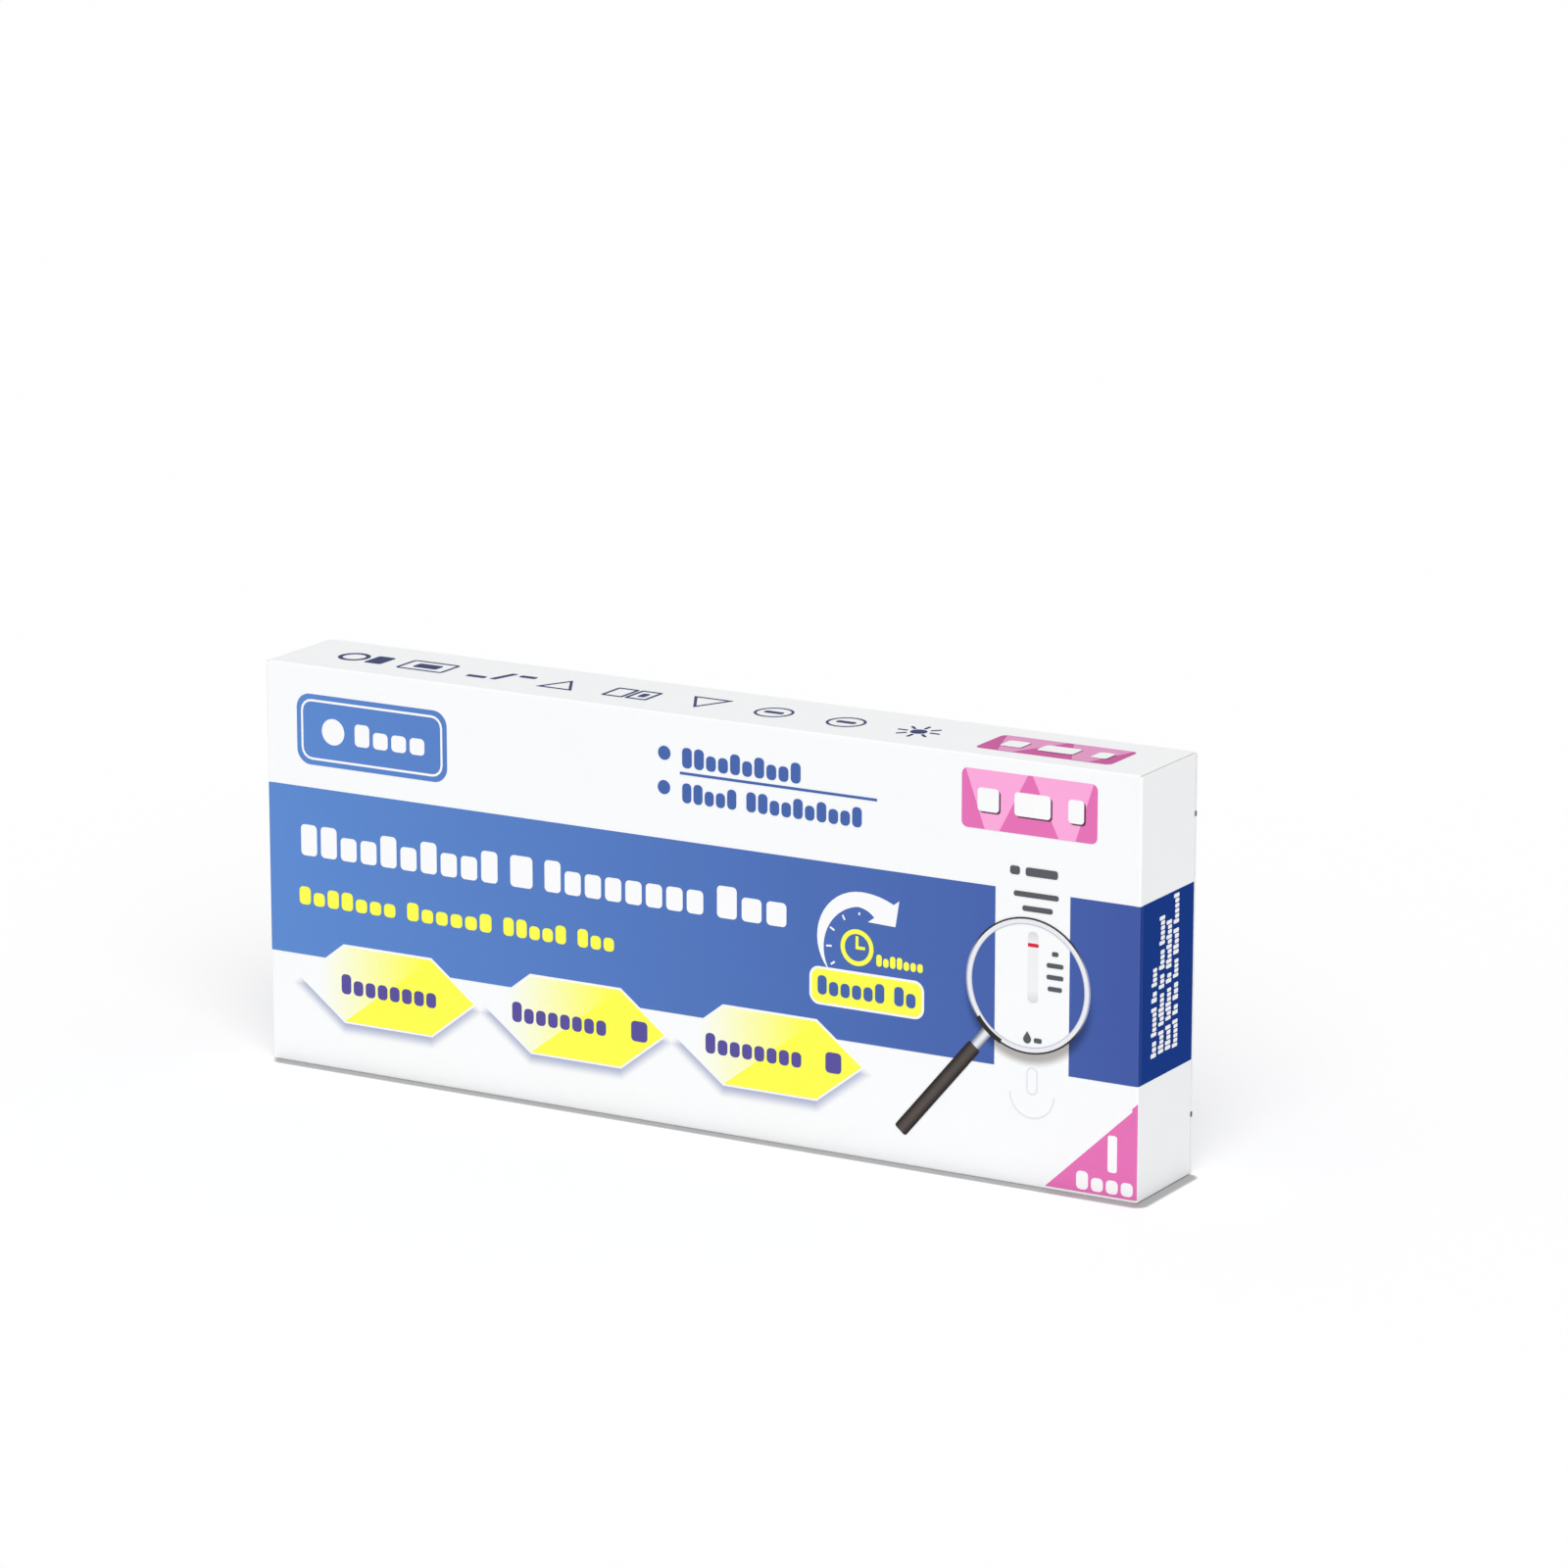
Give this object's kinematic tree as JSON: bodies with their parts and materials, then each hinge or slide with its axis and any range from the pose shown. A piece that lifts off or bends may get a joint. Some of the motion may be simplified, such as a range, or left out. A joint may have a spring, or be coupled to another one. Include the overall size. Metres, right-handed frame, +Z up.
{
  "type": "printed carton of a single rapid antigen test kit",
  "caption": "Closed tuck-end paperboard carton with printed colour fields, holding a sealed foil pouch, a wrapped swab, an extraction tube, a dropper cap and a folded leaflet.",
  "frame": {"origin": "centre of the carton's bottom face, which it stands on in the picture", "axes": "+X along the carton's length, to the end flap seen in the picture; +Y from the display panel to the back panel; +Z up"},
  "size_m": [0.19, 0.022, 0.08],
  "materials": {
    "board": "satin",
    "ink_blue": "satin",
    "ink_yellow": "satin",
    "ink_pink": "satin",
    "ink_dark_blue": "satin",
    "leaflet_paper": "matte",
    "pouch_laminate": "gloss",
    "wrapper_paper": "matte",
    "wrapper_film": "gloss",
    "swab_stick": "gloss",
    "swab_flock": "matte",
    "tube_plastic": "satin",
    "liquid": "gloss",
    "lid_foil": "satin",
    "cap_plastic": "satin"
  },
  "bodies": {
    "carton": {"carton_body": "board", "blue_print": "ink_blue", "yellow_print": "ink_yellow", "pink_print": "ink_pink", "instruction_leaflet": "leaflet_paper", "foil_pouch": "pouch_laminate", "swab_wrapper_back": "wrapper_paper", "swab_wrapper_film": "wrapper_film", "swab_shaft": "swab_stick", "swab_tip": "swab_flock", "extraction_tube": "tube_plastic", "extraction_liquid": "liquid", "tube_foil_lid": "lid_foil", "dropper_cap": "cap_plastic"},
    "right_end": {"right_end_flap": "board", "right_end_print": "ink_dark_blue"},
    "right_tuck": {"right_tuck_flap": "board"},
    "left_end": {"left_end_flap": "board", "left_end_print": "ink_dark_blue"},
    "left_tuck": {"left_tuck_flap": "board"}
  },
  "joints": [
    {"name": "right_end_hinge", "type": "hinge", "parent": "carton", "child": "right_end", "pos_m": [0.095, -0.011, 0.04], "axis": [0, 0, -1], "range_deg": [0, 105]},
    {"name": "right_tuck_fold", "type": "hinge", "parent": "right_end", "child": "right_tuck", "pos_m": [0.0946, 0.0097, 0.04], "axis": [0, 0, 1], "range_deg": [0, 80]},
    {"name": "left_end_hinge", "type": "hinge", "parent": "carton", "child": "left_end", "pos_m": [-0.095, -0.011, 0.04], "axis": [0, 0, 1], "range_deg": [0, 105]},
    {"name": "left_tuck_fold", "type": "hinge", "parent": "left_end", "child": "left_tuck", "pos_m": [-0.0946, 0.0097, 0.04], "axis": [0, 0, -1], "range_deg": [0, 80]}
  ],
  "couplings": [
    {"joint": "right_tuck_fold", "follows": "right_end_hinge", "ratio": 0.75},
    {"joint": "left_tuck_fold", "follows": "left_end_hinge", "ratio": 0.75}
  ]
}
